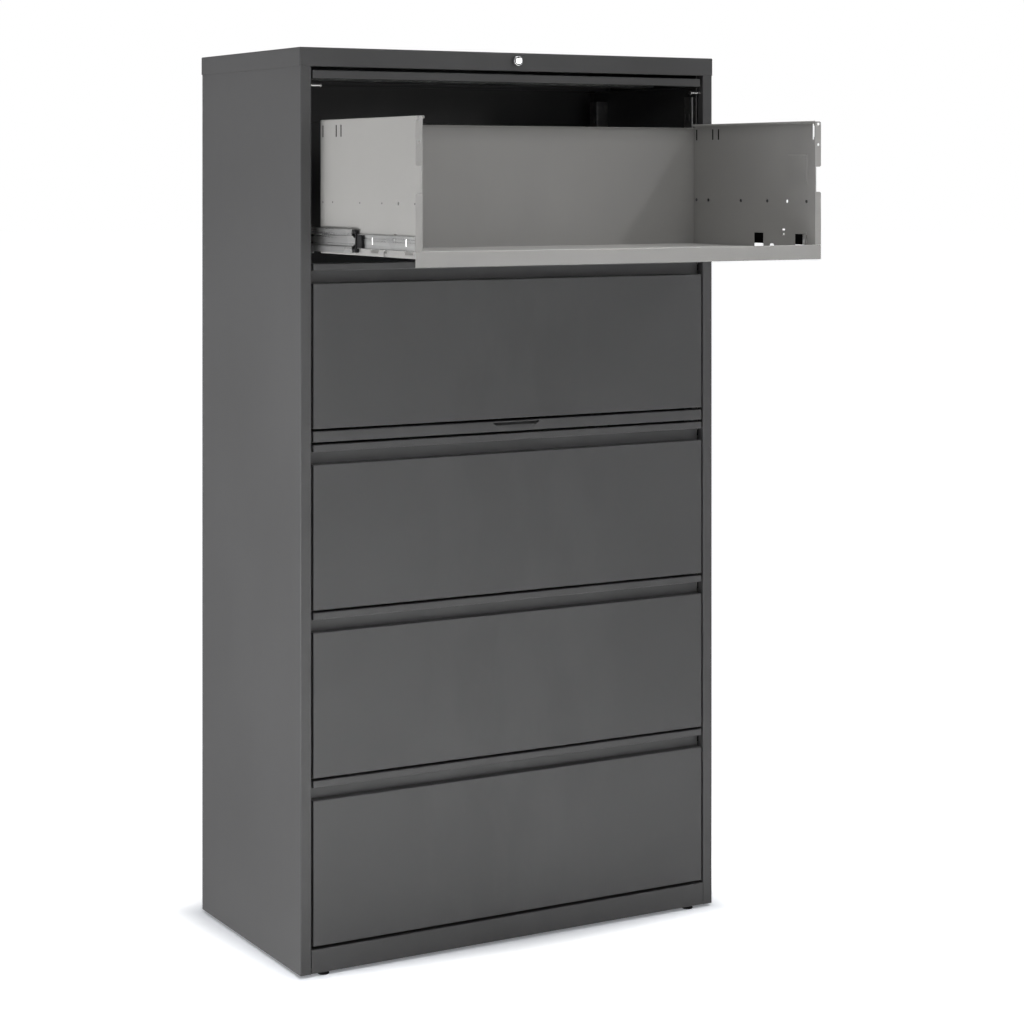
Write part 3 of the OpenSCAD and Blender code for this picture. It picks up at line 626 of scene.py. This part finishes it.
studio = {"floor": 0.88, "floorRadius": 60, "floorSeen": 2.0, "floorGlow": (0.352, 0.356, 0.368),
          "backdrop": 1.0, "room": 0.325, "shade": (0.36, 0.375, 0.40), "shadeGlow": 0.36,
          "shadeReach": 0.115, "shadeInside": 0.35}
lights = {
    "poolSoftbox": {"place": (-0.3, -2.0, 4.2), "target": (-0.3, -2.0, 0), "size": (3.2, 2.4),
                    "power": 64, "spread": 50},
    "sideSoftbox": {"place": (-3.6, 0.35, 0.3), "target": (-0.46, 0.35, 0.4), "size": (2.2, 0.6),
                    "power": 76, "spread": 180},
    "frontSoftbox": {"place": (0.6, -5.2, 0.9), "target": (0, 0, 0.6), "size": (3.0, 1.2),
                     "power": 14, "spread": 180},
    "keySoftbox": {"place": (2.6, -4.6, 4.6), "target": (0.1, -0.4, 1.55), "size": (0.3, 0.3),
                   "power": 0.8, "spread": 30},
    "glintSoftbox": {"place": (3.0, -5.35, 2.15), "target": (0, -0.24, 1.7), "size": (0.5, 0.5),
                     "power": 1.1, "spread": 90},
    "rimSoftbox": {"place": (-4.6, -2.9, 2.3), "target": (0, -0.24, 1.7), "size": (0.5, 0.5),
                   "power": 1.6, "spread": 90},
    "rearSoftbox": {"place": (-4.0, 2.8, 0.9), "target": (-0.42, -0.5, 1.36), "size": (1.5, 1.0),
                    "power": 7, "spread": 120},
}


def makeFloor():
    f = Finish("studioFloorPaper")
    speck = f.noise(260, 2)
    lit = f.add("ShaderNodeBsdfDiffuse", inputs={
        "Color": f.blend(speck * 0.03, rgba((studio["floor"],) * 3), rgba((studio["floor"] * 0.97,) * 3))})
    # soft shade round the foot of the case, for what the camera sees
    halfWidth, halfDepth = cabinet["halfWidth"] / 1000, cabinet["halfDepth"] / 1000
    sideways = (abs(f.along("X")) - halfWidth).atLeast(0)
    lengthways = (abs(f.along("Y")) - halfDepth).atLeast(0)
    away = (sideways * sideways + lengthways * lengthways) ** 0.5
    shade = 1 - away.between(-studio["shadeInside"] * studio["shadeReach"], studio["shadeReach"])
    bright = f.add("ShaderNodeBsdfDiffuse", inputs={
        "Color": f.blend(shade, rgba((studio["floorSeen"],) * 3), rgba(studio["shade"], studio["floorSeen"]))})
    glow = f.add("ShaderNodeEmission", inputs={
        "Color": f.blend(shade, rgba(studio["floorGlow"]), rgba(studio["shade"], studio["shadeGlow"]))})
    seen = f.add("ShaderNodeAddShader", inputs={0: bright, 1: glow})
    straight = f.add("ShaderNodeLightPath", output="Is Camera Ray")
    mixed = f.add("ShaderNodeMixShader", inputs={0: straight, 1: lit, 2: seen})
    f.close(mixed)
    maker = bmesh.new()
    radius = studio["floorRadius"]
    maker.faces.new([maker.verts.new((radius * math.cos(a), radius * math.sin(a), 0)) for a in anglesOf(64)])
    mesh = bpy.data.meshes.new("studio_floor")
    maker.to_mesh(mesh)
    maker.free()
    mesh.materials.append(f.owner)
    floor = bpy.data.objects.new("studio_floor", mesh)
    bpy.context.scene.collection.objects.link(floor)


def makeLight(name, look):
    data = bpy.data.lights.new(name, "AREA")
    data.shape = "RECTANGLE"
    data.size, data.size_y = look["size"]
    data.energy = look["power"]
    data.spread = math.radians(look["spread"])
    light = bpy.data.objects.new(name, data)
    light.location = look["place"]
    light.rotation_euler = (Vector(look["target"]) - light.location).to_track_quat("-Z", "Y").to_euler()
    bpy.context.scene.collection.objects.link(light)


def makeRoom():
    world = bpy.data.worlds.new("studioRoom")
    bpy.context.scene.world = world
    room = Graph(world)
    seen = room.add("ShaderNodeBackground", inputs={"Color": rgba((studio["backdrop"],) * 3)})
    light = room.add("ShaderNodeBackground", inputs={"Color": rgba((studio["room"],) * 3)})
    straight = room.add("ShaderNodeLightPath", output="Is Camera Ray")
    mixed = room.add("ShaderNodeMixShader", inputs={0: straight, 1: light, 2: seen})
    room.add("ShaderNodeOutputWorld", inputs={"Surface": mixed})


makeFloor()
makeRoom()
for name, look in lights.items():
    makeLight(name, look)
print("studio made")
